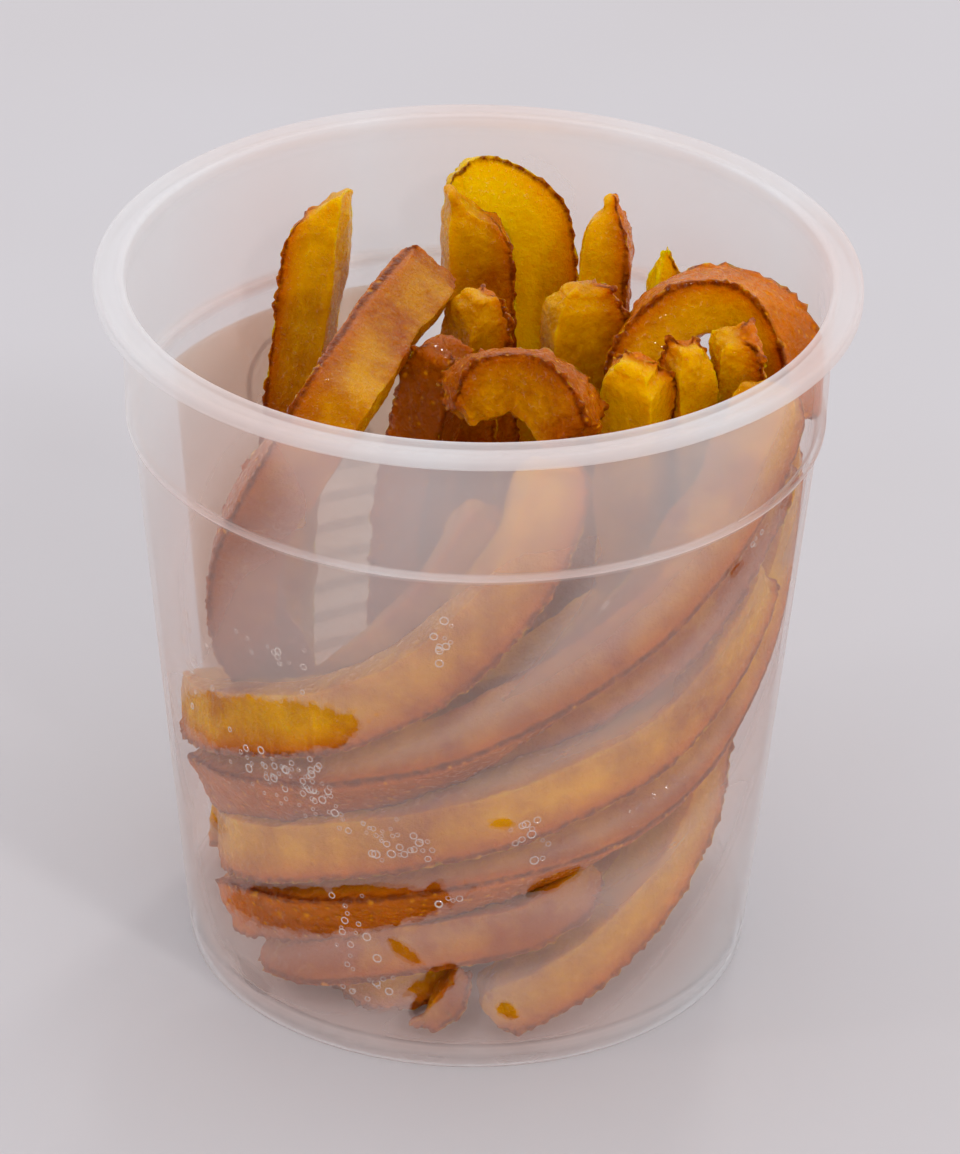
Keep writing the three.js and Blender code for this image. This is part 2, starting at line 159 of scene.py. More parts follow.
def blob_noise(points: np.ndarray, size: float, seed: int) -> np.ndarray:
    """Smooth random values over space, the same on every run.

    Args:
        points: an array of places, one row each.
        size: the width of a blob.
        seed: picks the pattern.

    Returns:
        One value from -1 to 1 for each place.
    """
    cells = points / size + seed * PATTERN_STEP
    low = np.floor(cells).astype(np.int64)
    part = cells - low
    part = part * part * (3 - 2 * part)
    total = np.zeros(len(points))
    for corner in itertools.product((0, 1), repeat=3):
        cell = low + np.array(corner)
        mixed = (cell @ np.array(SCATTER[:3]) + seed * SCATTER[3]) & WORD
        mixed = ((mixed ^ (mixed >> 13)) * SCRAMBLE) & WORD
        value = ((mixed ^ (mixed >> 16)) & 0xFFFF) / 32767.5 - 1
        total += value * np.prod(np.where(np.array(corner) == 1, part, 1 - part), axis=1)
    return total


def rise(low: float, high: float, value: np.ndarray) -> np.ndarray:
    """A smooth climb from 0 at low to 1 at high."""
    share = np.clip((value - low) / (high - low), 0, 1)
    return share * share * (3 - 2 * share)


def spin_round(bm: Form, verts: list, edges: list, steps: int) -> None:
    """Turns an outline once round the z axis."""
    bmesh.ops.spin(
        bm, geom=verts + edges, cent=(0, 0, 0), axis=(0, 0, 1), dvec=(0, 0, 0),
        angle=2 * math.pi, steps=steps, use_merge=True, use_duplicate=False,
    )


def mesh_of(bm: Form, name: str) -> Mesh:
    """Makes a finished bmesh a mesh.

    Args:
        bm: the mesh in the making, which is freed.
        name: the mesh's name.

    Returns:
        The mesh.
    """
    mesh = bpy.data.meshes.new(name)
    bm.to_mesh(mesh)
    bm.free()
    return mesh


def place_piece(name: str, mesh: Mesh) -> Piece:
    """Makes a mesh a smoothly shaded object of the scene, at the origin.

    Args:
        name: the object's name.
        mesh: its mesh.

    Returns:
        The object.
    """
    mesh.polygons.foreach_set("use_smooth", [True] * len(mesh.polygons))
    piece = bpy.data.objects.new(name, mesh)
    bpy.context.scene.collection.objects.link(piece)
    return piece


def hand_over(bm: Form, name: str, material: Material) -> Piece:
    """Makes a finished bmesh an object of the scene.

    Args:
        bm: the mesh in the making, which is freed.
        name: the object's name.
        material: what it is made of.

    Returns:
        The new object.
    """
    mesh = mesh_of(bm, name)
    mesh.materials.append(material)
    return place_piece(name, mesh)


def settle(piece: Piece, slot: Slot, *nodes: str) -> None:
    """Hangs a piece on the one body, hides the CAD nodes that it stands for, and logs its faces.

    Args:
        piece: the finished object.
        slot: not used.
        nodes: CAD nodes that it replaces.
    """
    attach(piece, "root")
    if nodes:
        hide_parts(*nodes)
    log.info("%s: %d faces", piece.name, len(piece.data.polygons))


def bell(middle: float, width: float, value: np.ndarray) -> np.ndarray:
    """A smooth bump of height 1 at the middle."""
    return np.exp(-(((value - middle) / width) ** 2))


def points_of(mesh: Mesh, name: str = "co") -> np.ndarray:
    """Reads the mesh's vertices as an array of rows.

    Args:
        mesh: the mesh.
        name: co for their places, normal for their normals.

    Returns:
        One row for each vertex.
    """
    flat = np.empty(len(mesh.vertices) * 3)
    mesh.vertices.foreach_get(name, flat)
    return flat.reshape(-1, 3)


def move(mesh: Mesh, points: np.ndarray) -> None:
    """Puts the mesh's vertices at new places."""
    mesh.vertices.foreach_set("co", points.ravel())
    mesh.update()


def store(mesh: Mesh, name: str, values: np.ndarray) -> None:
    """Keeps one number for each vertex under a name that materials can read."""
    layer = mesh.attributes.get(name) or mesh.attributes.new(name, "FLOAT", "POINT")
    layer.data.foreach_set("value", np.asarray(values, dtype=np.float32))


def read(mesh: Mesh, name: str) -> np.ndarray:
    """Reads numbers that are stored on the mesh.

    Args:
        mesh: the mesh.
        name: what they are stored under.

    Returns:
        One number for each vertex.
    """
    values = np.empty(len(mesh.vertices), dtype=np.float32)
    mesh.attributes[name].data.foreach_get("value", values)
    return values.astype(float)


# ---------------- node shorthands


def object_place(tree: Tree) -> Socket:
    """Places in the object's own frame, in metres."""
    return add_node(tree, "ShaderNodeTexCoord").outputs["Object"]


def marks(tree: Tree, *names: str) -> list[Socket]:
    """The numbers that are stored on the mesh under these names."""
    return [add_node(tree, "ShaderNodeAttribute", attribute_name=name).outputs["Fac"] for name in names]


def noise(tree: Tree, place: Socket, size_mm: float, detail: float, roughness: float = 0.5) -> Socket:
    """Noise about 0.5 with blobs of a given size, and finer layers by detail and roughness."""
    inputs = {"Vector": place, "Scale": 1 / (size_mm * MM), "Detail": detail, "Roughness": roughness}
    return add_node(tree, "ShaderNodeTexNoise", inputs).outputs["Fac"]


def number(tree: Tree, operation: str, *values: Any, clamp: bool = False) -> Socket:
    """One step of arithmetic on numbers or sockets, kept from 0 to 1 if clamped."""
    inputs = dict(enumerate(values))
    return add_node(tree, "ShaderNodeMath", inputs, operation=operation, use_clamp=clamp).outputs[0]


# The Map Range node's inputs.
RANGE_SOCKETS = ("Value", "From Min", "From Max", "To Min", "To Max")


def remap(
    tree: Tree, value: Socket, source: Pair, target: Pair = (0.0, 1.0), steps: str = "LINEAR"
) -> Socket:
    """Moves a value from its source range to a target range, and holds it there."""
    inputs = dict(zip(RANGE_SOCKETS, (value, *source, *target)))
    return add_node(tree, "ShaderNodeMapRange", inputs, interpolation_type=steps).outputs[0]


# The Mix node's two inputs and its output, for colours and for numbers.
MIX_SOCKETS = {"RGBA": (6, 7, 2), "FLOAT": (2, 3, 0)}


def mix(tree: Tree, kind: str, share: Any, one: Any, other: Any) -> Socket:
    """Mixes two colours (RGBA) or two numbers (FLOAT), by how much of the other there is."""
    a, b, out = MIX_SOCKETS[kind]
    return add_node(tree, "ShaderNodeMix", {"Factor": share, a: one, b: other}, data_type=kind).outputs[out]


def shader(tree: Tree, kind: str, **inputs: Any) -> Socket:
    """One shader, its inputs named with _ for each space."""
    named = {name.replace("_", " "): value for name, value in inputs.items()}
    return add_node(tree, "ShaderNodeBsdf" + kind, named).outputs[0]


def mix_shaders(tree: Tree, share: Any, first: Socket, second: Socket) -> Socket:
    """Mixes two shaders, by how much of the second there is."""
    return add_node(tree, "ShaderNodeMixShader", {0: share, 1: first, 2: second}).outputs[0]


def relief(tree: Tree, height: Socket, strength: float, depth_mm: float) -> Socket:
    """A normal that follows a height."""
    inputs = {"Height": height, "Strength": strength, "Distance": depth_mm * MM}
    return add_node(tree, "ShaderNodeBump", inputs).outputs[0]


def facing(tree: Tree, share: float) -> Socket:
    """How far the surface turns edge on."""
    return add_node(tree, "ShaderNodeLayerWeight", {"Blend": share}).outputs["Facing"]


def finish_with(tree: Tree, surface: Socket) -> None:
    """Makes a shader the material's surface."""
    add_node(tree, "ShaderNodeOutputMaterial", {"Surface": surface})


# ---------------- finishes


@dataclass(frozen=True)
class CandiedPeelFinish:
    """Orange peel boiled in syrup and dried: a jelly that light sinks into, golden in the pith,
    deeper orange in the rind, brown along the dried cut edges, with small glints of set syrup."""

    young: str = "#FFCE00"
    pith: str = "#F8BA00"
    pith_deep: str = "#EA9C00"
    flesh: str = "#DA7C00"
    rind: str = "#DC7800"
    deep: str = "#A65000"
    rind_dark: str = "#702A00"
    dot: str = "#F8A808"
    gloss: str = "#FFB400"
    gland_mm: float = 1.6
    grain_mm: float = 0.5
    ragged_mm: float = 1.2
    mottle_mm: float = 6.0
    pith_from_mm: float = 6.0
    relief_mm: float = 0.4
    sink_mm: float = 2.8
    sink_by_colour: tuple[float, float, float] = (1.0, 0.7, 0.12)

    def make(self) -> Material:
        """Builds the material.

        Returns:
            The material.
        """
        material, tree = new_material("orange peel, candied in syrup and dried")
        place = object_place(tree)
        rind, skin, tone, lip = marks(tree, "rind", "skin", "tone", "lip")
        sizes = (self.mottle_mm, self.grain_mm, self.ragged_mm)
        mottle, grain, ragged = (noise(tree, place, size, 4.0, 0.6) for size in sizes)
        glands = add_node(
            tree, "ShaderNodeTexVoronoi",
            {"Vector": place, "Scale": 1 / (self.gland_mm * MM), "Randomness": 0.9},
            feature="SMOOTH_F1",
        ).outputs["Distance"]

        # Depth below the rind, with a wandering border, picks rind, flesh or pith.
        depth = number(tree, "ADD", skin, number(tree, "MULTIPLY_ADD", ragged, 1.6, -0.8))
        depth = remap(tree, depth, (0.0, self.pith_from_mm))
        colours = (self.rind, self.rind, self.flesh, self.pith_deep, self.pith)
        colour = ramp(tree, depth, list(zip((0.0, 0.12, 0.22, 0.4, 0.75), colours)))
        # How long the syrup cooked the strip, plus painted shade low in the tub: below zero it is
        # yellower, above zero browner.
        younger = number(tree, "MULTIPLY", tone, -1.2, clamp=True)
        colour = mix(tree, "RGBA", younger, colour, linear(self.young))
        shade = remap(tree, mottle, (0.4, 0.7), (0.0, 0.4))
        shade = number(tree, "ADD", shade, tone, clamp=True)
        colour = mix(tree, "RGBA", shade, colour, linear(self.deep))
        # The dried brown lip along the cut edges of the rind, broken up by the pebbling.
        lipped = number(tree, "ADD", lip, number(tree, "MULTIPLY_ADD", ragged, 2.2, -1.25), clamp=True)
        colour = mix(tree, "RGBA", number(tree, "MULTIPLY", lipped, lip), colour, linear(self.rind_dark))
        # Oil glands: pale dots in the rind only.
        dot = number(tree, "MULTIPLY", remap(tree, glands, (0.08, 0.24), (0.55, 0.0)), rind)
        colour = mix(tree, "RGBA", dot, colour, linear(self.dot))

        # Pits over the glands, and a grain all over.
        height = number(tree, "MULTIPLY", remap(tree, glands, (0.05, 0.4)), rind)
        height = number(tree, "MULTIPLY_ADD", grain, 0.9, height)
        height = number(tree, "MULTIPLY_ADD", ragged, 1.1, height)
        # Beads of set syrup, which catch the lamps.
        beads = remap(tree, grain, (0.56, 0.66), (0.0, 0.9))
        roughness = remap(tree, ragged, (0.35, 0.65), (0.1, 0.32))
        normal = relief(tree, height, 0.9, self.relief_mm)
        finish_with(tree, shader(
            tree, "Principled", Base_Color=colour, Roughness=roughness, Normal=normal, IOR=1.46,
            Specular_IOR_Level=0.32, Specular_Tint=linear(self.gloss), Subsurface_Weight=0.9,
            Subsurface_Radius=self.sink_by_colour, Subsurface_Scale=self.sink_mm * MM,
            Coat_Weight=beads, Coat_Roughness=0.08,
        ))
        return material


@dataclass(frozen=True)
class PolypropyleneFinish:
    """Injection-moulded clear polypropylene: milky in a thin wall and milkier where it is thick,
    with a soft shine. It lets part of its milk's light through from behind. The milk clears where
    sticky syrup fills the gap between the wall and what leans on it."""

    tint: str = "#FBFBFB"
    peel_glow_painted: str = "#F8E6DF"
    haze_far: float = 0.29
    haze_near: float = 0.15
    haze_wet: float = 0.003
    haze_thick_and_glint: float = 0.92
    touch_mm: float = 0.3
    reach_mm: float = 4.5
    glow_mm: Pair = (1.0, 16.0)
    wet_edge_mm: float = 2.2
    let_through: float = 0.4

    def make(self) -> Material:
        """Builds the material.

        Returns:
            The material.
        """
        material, tree = new_material("polypropylene, clear, injection moulded")
        gap, wet, thick = marks(tree, "gap", "wet", "thick")
        haze = remap(tree, gap, (self.touch_mm, self.reach_mm), (self.haze_near, self.haze_far), "SMOOTHSTEP")
        # Partly real, partly painted highlight: thicker plastic is milkier, and this milk also stands in for
        # bright lines of light at the edges.
        haze = mix(tree, "FLOAT", thick, haze, self.haze_thick_and_glint)
        # Syrup clears the milk, in patches with a wandering but crisp edge.
        edge = noise(tree, object_place(tree), self.wet_edge_mm, 2.0)
        wetted = remap(tree, number(tree, "MULTIPLY_ADD", edge, 0.8, wet), (0.92, 0.98))
        haze = mix(tree, "FLOAT", wetted, haze, self.haze_wet)
        # A wall seen edge on is a longer way through the milk.
        edge_on = number(tree, "POWER", facing(tree, 0.25), 3.0)
        haze = number(tree, "MULTIPLY_ADD", edge_on, 0.3, haze, clamp=True)
        # Painted glow: near the peel the wall is tinted warm, standing in for the peel's light scattered in
        # the milk.
        closeness = remap(tree, gap, self.glow_mm, (1.0, 0.0))
        colour = mix(tree, "RGBA", closeness, linear(self.tint), linear(self.peel_glow_painted))
        front = shader(
            tree, "Principled", Base_Color=colour, Roughness=0.3, IOR=1.49, Specular_IOR_Level=0.6,
        )
        milk = mix_shaders(tree, self.let_through, front, shader(tree, "Translucent", Color=colour))
        finish_with(tree, mix_shaders(tree, haze, shader(tree, "Transparent"), milk))
        return material


@dataclass(frozen=True)
class SyrupFinish:
    """The skin of a bubble in clear sugar syrup, where it meets the wall: a shiny, nearly white
    ring, since the light that passes it bends away."""

    tint: str = "#FFF8EE"

    def make(self) -> Material:
        """Builds the material.

        Returns:
            The material.
        """
        material, tree = new_material("sugar syrup, clear, set in drops")
        skin = remap(tree, facing(tree, 0.35), (0.1, 0.5), (0.45, 1.0))
        shell = shader(
            tree, "Principled", Base_Color=linear(self.tint), Roughness=0.08, IOR=1.48, Metallic=0.6,
        )
        finish_with(tree, mix_shaders(tree, skin, shader(tree, "Transparent"), shell))
        return material


@dataclass(frozen=True)
class StickerFinish:
    """Uncoated wood-free paper with a gum back: off-white, matt, faintly fibrous, with plain grey
    bars and a ring printed thinly on it. It lets more than half of its light through."""

    paper: str = "#F8EADD"
    paper_light: str = "#F9EFE6"
    ink: str = "#A08F88"
    fibre_mm: float = 0.5
    size_mm: Pair = (38.0, 63.0)
    ring_at: Pair = (0.45, 0.83)
    ring_mm: Pair = (6.2, 7.0)
    bars: int = 14
    bar_share: float = 0.34
    let_through: float = 0.6
    column: Pair = (0.14, 0.62)
    rows: Pair = (0.1, 0.66)

    @staticmethod
    def within(tree: Tree, value: Socket, bounds: Pair) -> Socket:
        """One where a value lies between two bounds, and zero elsewhere."""
        above = number(tree, "GREATER_THAN", value, bounds[0])
        return number(tree, "MULTIPLY", above, number(tree, "LESS_THAN", value, bounds[1]))

    def make(self) -> Material:
        """Builds the material.

        Returns:
            The material.
        """
        material, tree = new_material("paper, uncoated, thinly printed sticker")
        uv = add_node(tree, "ShaderNodeUVMap", uv_map="UVMap").outputs[0]
        fibre = noise(tree, object_place(tree), self.fibre_mm, 3.0)
        across, up = add_node(tree, "ShaderNodeSeparateXYZ", {0: uv}).outputs[:2]
        stripe = number(tree, "FRACT", number(tree, "MULTIPLY", up, float(self.bars)))
        column, rows = self.within(tree, across, self.column), self.within(tree, up, self.rows)
        printed = number(tree, "MULTIPLY", column, rows)
        printed = number(tree, "MULTIPLY", printed, number(tree, "LESS_THAN", stripe, self.bar_share))
        offset = uv
        for operation, by in (("SUBTRACT", self.ring_at), ("MULTIPLY", self.size_mm)):
            inputs = {0: offset, 1: (*by, 0.0)}
            offset = add_node(tree, "ShaderNodeVectorMath", inputs, operation=operation).outputs[0]
        radius = add_node(tree, "ShaderNodeVectorMath", {0: offset}, operation="LENGTH").outputs["Value"]
        printed = number(tree, "MAXIMUM", printed, self.within(tree, radius, self.ring_mm))
        printed = number(tree, "MULTIPLY", printed, number(tree, "MULTIPLY", fibre, 0.7))
        colour = ramp(tree, fibre, [(0.3, self.paper), (0.7, self.paper_light)])
        colour = mix(tree, "RGBA", printed, colour, linear(self.ink))
        normal = relief(tree, fibre, 0.25, 0.05)
        front = shader(tree, "Principled", Base_Color=colour, Roughness=0.75, Normal=normal)
        through = shader(tree, "Translucent", Color=colour)
        finish_with(tree, mix_shaders(tree, self.let_through, front, through))
        return material


@dataclass(frozen=True)
class BackdropFinish:
    """Matt paper sweep under soft light: a flat pale grey with faint clouds."""

    tone: str = "#CFCDCF"
    cloud: str = "#CDCACB"
    cloud_mm: float = 1000 / 9

    def make(self) -> Material:
        """Builds the material.

        Returns:
            The material.
        """
        material, tree = new_material("paper sweep, matt")
        clouds = noise(tree, object_place(tree), self.cloud_mm, 2.0)
        colour = ramp(tree, clouds, [(0.35, self.tone), (0.65, self.cloud)])
        finish_with(
            tree, shader(tree, "Principled", Base_Color=colour, Roughness=0.9, Specular_IOR_Level=0.2),
        )
        return material


# ---------------- the tub


@dataclass
class Tub:
    """The tub: one turned profile with a foot ring, a stacking step and a flanged rim."""

    height_mm: float = 100.0
    rim_mm: float = 50.5
    mouth_mm: float = 46.3
    skirt_mm: float = 2.2
    lip_mm: float = 0.8
    wall_mm: float = 0.7
    foot_mm: float = 38.3
    foot_height_mm: float = 2.0
    floor_mm: float = 2.8
    step_mm: float = 79.5
    step_depth_mm: float = 0.8
    body_top_mm: float = 45.6
    turns: int = 256
    pitch_mm: float = 0.85

    def body_radius(self, z: Any) -> Any:
        """Outer radius of the tapered body below the step, in millimetres."""
        return self.foot_mm + (self.body_top_mm - self.foot_mm) * z / self.step_mm

    def band_radius(self, z: Any) -> Any:
        """Outer radius of the band above the step, in millimetres."""
        low, high = self.body_top_mm + self.step_depth_mm, self.mouth_mm + self.wall_mm - 0.1
        return low + (high - low) * (z - self.step_mm) / (self.height_mm - self.step_mm)

    def inner_radius(self, z: np.ndarray) -> np.ndarray:
        """Inner radius of the wall at heights in millimetres."""
        low, high = self.body_radius(z) - self.wall_mm, self.band_radius(z) - self.wall_mm
        return low + (high - low) * rise(self.step_mm, self.step_mm + 1.4, z)

    def hold(self, points: np.ndarray, gap_mm: float = 0.06) -> np.ndarray:
        """Keeps points inside the wall and above the floor.

        Args:
            points: places in metres.
            gap_mm: how near the wall they may come.

        Returns:
            The places, moved in where they were outside.
        """
        held = points.copy()
        held[:, 2] = np.clip(held[:, 2], (self.floor_mm + gap_mm) * MM, (self.height_mm - 0.9) * MM)
        radius = np.hypot(held[:, 0], held[:, 1])
        z = held[:, 2] / MM
        limit = self.inner_radius(z) - gap_mm
        corner = self.floor_mm + 1.6
        limit = np.minimum(limit, np.where(z < corner, limit - (corner - z) * 0.9, limit)) * MM
        share = np.where(radius > limit, limit / np.maximum(radius, 1e-9), 1.0)
        held[:, :2] *= share[:, None]
        return held

    def run(self, start: Pair, end: Pair) -> list[Pair]:
        """Divides a straight part of the profile.

        Args:
            start: its first point.
            end: its last point.

        Returns:
            Points from start up to, but not at, end, about a pitch apart.
        """
        length = math.dist(start, end)
        count = max(1, round(length / self.pitch_mm))
        return [
            (start[0] + (end[0] - start[0]) * i / count, start[1] + (end[1] - start[1]) * i / count)
            for i in range(count)
        ]

    @staticmethod
    def bend(centre: Pair, radius: float, start: float, stop: float, steps: int = 5) -> list[Pair]:
        """A rounded corner of the profile.

        Args:
            centre: the corner's centre.
            radius: its radius.
            start: the first angle in degrees, from outwards towards up.
            stop: the last angle.
            steps: how many parts it has.

        Returns:
            Its points.
        """
        turns = [math.radians(start + (stop - start) * i / steps) for i in range(steps + 1)]
        return [(centre[0] + radius * math.cos(t), centre[1] + radius * math.sin(t)) for t in turns]

    def profile(self) -> list[Pair]:
        """Draws the outline that is turned into the tub.

        Returns:
            Points from the middle of the underside, out, up, in and down to the floor's middle.
        """
        body, band, wall = self.body_radius, self.band_radius, self.wall_mm
        foot, foot_in, recess = self.foot_mm, self.foot_mm - 1.1, self.foot_height_mm
        step, top, floor = self.step_mm, self.height_mm, self.floor_mm
        under, skirt_in, skirt = top - self.lip_mm, self.rim_mm - self.lip_mm, top - self.skirt_mm
        step_top, inner_step, corner = step + 0.5, step + self.step_depth_mm + 0.5, floor + 1.7
        return [
            # The recessed underside and the foot ring.
            *self.run((0.0, recess), (foot_in - 0.8, recess)),
            *self.bend((foot_in - 0.8, recess - 0.8), 0.8, 90, 0),
            (foot_in, 0.25), (foot_in + 0.12, 0.05), (foot_in + 0.25, 0.0), (foot - 0.35, 0.0),
            *self.bend((foot - 0.35, 0.38), 0.38, -70, 0, 4),
            # The tapered body and the stacking step.
            *self.run((body(0.8), 0.8), (body(step - 0.9), step - 0.9)),
            (body(step - 0.9), step - 0.9), (body(step) + 0.05, step - 0.45), (body(step) + 0.3, step - 0.12),
            (band(step_top) - 0.22, step), (band(step_top) - 0.05, step + 0.16),
            # The band above it, the flange and its skirt.
            *self.run((band(step_top), step_top), (band(under - 0.6), under - 0.6)),
            (band(under - 0.6), under - 0.6), (band(under) + 0.12, under - 0.2), (band(under) + 0.5, under),
            (skirt_in - 0.4, under), (skirt_in - 0.1, under - 0.1), (skirt_in, under - 0.35),
            (skirt_in, skirt + 0.2),
            *self.bend((skirt_in + 0.4, skirt + 0.4), 0.4, 180, 360, 8),
            *self.bend((self.rim_mm - 0.7, top - 0.7), 0.7, 0, 90, 6),
            (self.rim_mm - 1.6, top), (self.mouth_mm + 1.4, top),
            *self.bend((self.mouth_mm + 0.6, top - 0.6), 0.6, 90, 180),
            # Down the inside, past the step, to the floor.
            *self.run((band(top - 1.2) - wall, top - 1.2), (band(inner_step) - wall, inner_step)),
            (band(inner_step) - wall, inner_step), (band(inner_step) - wall - 0.06, inner_step - 0.3),
            (body(step) - wall + 0.5, step + 0.55), (body(step) - wall + 0.1, step + 0.3),
            *self.run((body(step - 0.3) - wall, step - 0.3), (body(corner) - wall, corner)),
            *self.bend((body(corner) - wall - 1.7, corner), 1.7, 0, -90, 6),
            *self.run((body(corner) - wall - 2.4, floor), (0.0, floor)),
            (0.0, floor),
        ]

    def build(self, finish: Material) -> Piece:
        """Turns the profile into the tub.

        Args:
            finish: the polypropylene.

        Returns:
            The tub, without its marks of what leans on it.
        """
        bm = bmesh.new()
        corners = [bm.verts.new((0.0, -r * MM, z * MM)) for r, z in self.profile()]
        edges = [bm.edges.new(pair) for pair in zip(corners, corners[1:])]
        spin_round(bm, corners, edges, self.turns)
        bmesh.ops.remove_doubles(bm, verts=bm.verts, dist=1e-6)
        bmesh.ops.recalc_face_normals(bm, faces=bm.faces)
        return hand_over(bm, "tub_shell", finish)


@dataclass(frozen=True)
class WetPatch:
    """A place where syrup joins the peel to the wall, an oval on the wall's inside."""

    angle: float
    height_mm: float
    half_length_mm: float
    half_height_mm: float
    lean: float = 0.0

    def mark(self, angle: np.ndarray, height: np.ndarray, radius: np.ndarray) -> np.ndarray:
        """How far inside the patch each place of the wall is.

        Args:
            angle: degrees round the tub.
            height: millimetres.
            radius: millimetres.

        Returns:
            One in the middle, zero at the edge, less outside.
        """
        along = np.radians(angle - self.angle) * radius
        up = height - self.height_mm
        turn = math.radians(self.lean)
        x = (along * math.cos(turn) + up * math.sin(turn)) / self.half_length_mm
        y = (up * math.cos(turn) - along * math.sin(turn)) / self.half_height_mm
        return 1 - np.sqrt(x * x + y * y)


@dataclass
class SyrupFilm:
    """Where syrup wets the wall: it is marked on the tub, and holds bubbles."""

    tub: Tub
    dry_gap_mm: float = 3.2
    wet_gap_mm: float = 2.2
    ring_share: float = 0.17
    ring_mm: Pair = (0.24, 0.58)
    ring_heights_mm: Pair = (4.5, 78.0)
    scatter: float = 0.45
    wall_mm: float = 41.0
    peel_step: int = 4
    patches: tuple[WetPatch, ...] = tuple(WetPatch(*row) for row in (
        (-44.0, 48.2, 21.0, 4.6, 21), (-28.0, 22.7, 21.0, 3.8, 20), (-51.0, 5.6, 7.0, 2.2, -12),
        (-7.8, 12.0, 7.4, 2.2, 54), (7.1, 10.1, 3.6, 1.3, -38), (16.3, 30.4, 4.2, 1.4, 22),
        (26.1, 27.2, 1.6, 1.9, 0), (5.9, 40.7, 1.9, 1.0, 0), (73.1, 82.2, 1.0, 2.3, 0),
        (65.0, 77.0, 1.8, 1.0, 30), (49.5, 72.5, 1.7, 1.0, 30), (-56.4, 28.7, 3.0, 1.2, -25),
        (-67.4, 11.5, 4.4, 1.4, -65), (-11.7, 18.8, 3.2, 1.2, -40),
    ))
    # Each group's angle, height, half width and half height in millimetres, and number.
    bubble_groups: tuple[tuple[float, float, float, float, int], ...] = (
        (-34.0, 42.0, 13.0, 5.0, 70), (-14.0, 36.5, 7.0, 4.0, 30), (-60.8, 52.9, 4.0, 7.0, 18),
        (-36.5, 61.5, 6.0, 4.0, 14), (-5.2, 69.0, 3.0, 5.0, 10), (-22.8, 21.2, 4.0, 7.0, 14),
        (13.4, 37.3, 3.5, 6.0, 12), (-19.0, 11.8, 6.0, 4.0, 12), (-3.0, 27.3, 2.5, 1.5, 5),
        (22.6, 73.1, 1.0, 1.0, 2), (56.7, 74.9, 2.0, 2.0, 4),
    )

    def thickness(self, out: np.ndarray, height: np.ndarray) -> np.ndarray:
        """How thick the plastic looks: more at the step, the floor's corner and the lips of the brim.
        There the extra milk also stands in for the bright lines of light on those edges, a painted highlight.

        Args:
            out: each place's distance from the tub's axis, in millimetres.
            height: its height, in millimetres.

        Returns:
            A share from 0 to 1 for each place.
        """
        tub = self.tub
        step = bell(tub.step_mm + 0.1, 0.5, height)
        low = bell(tub.floor_mm + 0.2, 0.7, height) * (tub.inner_radius(height) > 30)
        brim = rise(tub.height_mm - 2.4, tub.height_mm - 1.4, height)
        brim *= 0.1 + 0.45 * (bell(tub.mouth_mm + 0.4, 0.5, out) + bell(tub.rim_mm, 0.5, out))
        return np.clip(np.maximum(np.maximum(step, 0.6 * low), brim), 0, 1)

    def mark(self, shell: Piece, strips: Sequence[Piece]) -> None:
        """Stores on the tub how far the nearest peel is, in millimetres, and how wet the wall is.

        Args:
            shell: the tub.
            strips: every strip.
        """
        peel = np.concatenate([points_of(strip.data)[:: self.peel_step] for strip in strips])
        tree = KDTree(len(peel))
        for i, point in enumerate(peel):
            tree.insert(point, i)
        tree.balance()
        places = points_of(shell.data)
        angle = np.degrees(np.arctan2(places[:, 0], -places[:, 1]))
        height = places[:, 2] / MM
        radius = self.tub.inner_radius(height)
        turn = np.radians(angle)
        inside = np.stack([radius * np.sin(turn) * MM, -radius * np.cos(turn) * MM, places[:, 2]], axis=1)
        out = np.hypot(places[:, 0], places[:, 1]) / MM
        central = out < self.tub.foot_mm - 3
        inside[central] = places[central]
        gap = np.array([tree.find(Vector(p))[2] for p in inside]) / MM
        wet = np.max([patch.mark(angle, height, radius) for patch in self.patches], axis=0)
        wet = np.clip(0.5 + wet, 0, 1) * rise(self.dry_gap_mm, self.wet_gap_mm, gap)
        wet[height > self.tub.height_mm - 4] = 0
        for name, values in (("thick", self.thickness(out, height)), ("gap", gap), ("wet", wet)):
            store(shell.data, name, values)
        log.info("wall marked: nearest peel %.2f mm, wettest %.2f", gap.min(), wet.max())

    def skin_ring(self) -> Mesh:
        """Makes the bright edge of a bubble where it meets the wall.

        Returns:
            A ring one metre in radius.
        """
        bm = bmesh.new()
        tube = bmesh.ops.create_circle(
            bm, segments=6, radius=self.ring_share,
            matrix=Matrix.Translation((1, 0, 0)) @ Matrix.Rotation(math.pi / 2, 4, "X"),
        )["verts"]
        edges = list({edge for vert in tube for edge in vert.link_edges})
        spin_round(bm, list(tube), edges, 16)
        return mesh_of(bm, "skin_ring")

    def bubbles(self, finish: Material) -> Piece:
        """Makes the bubbles caught between the wall and the peel.

        Args:
            finish: the syrup.

        Returns:
            One piece of many small rings.
        """
        rng = np.random.default_rng(11)
        ring = self.skin_ring()
        bm = bmesh.new()
        small, large = self.ring_mm
        for angle, height, wide, tall, count in self.bubble_groups:
            for _ in range(count):
                aside = rng.normal(0, self.scatter) * wide / self.wall_mm
                turn = math.radians(angle + math.degrees(aside))
                z = float(np.clip(height + rng.normal(0, self.scatter) * tall, *self.ring_heights_mm))
                size = float(small + (large - small) * rng.random() ** 2.0)
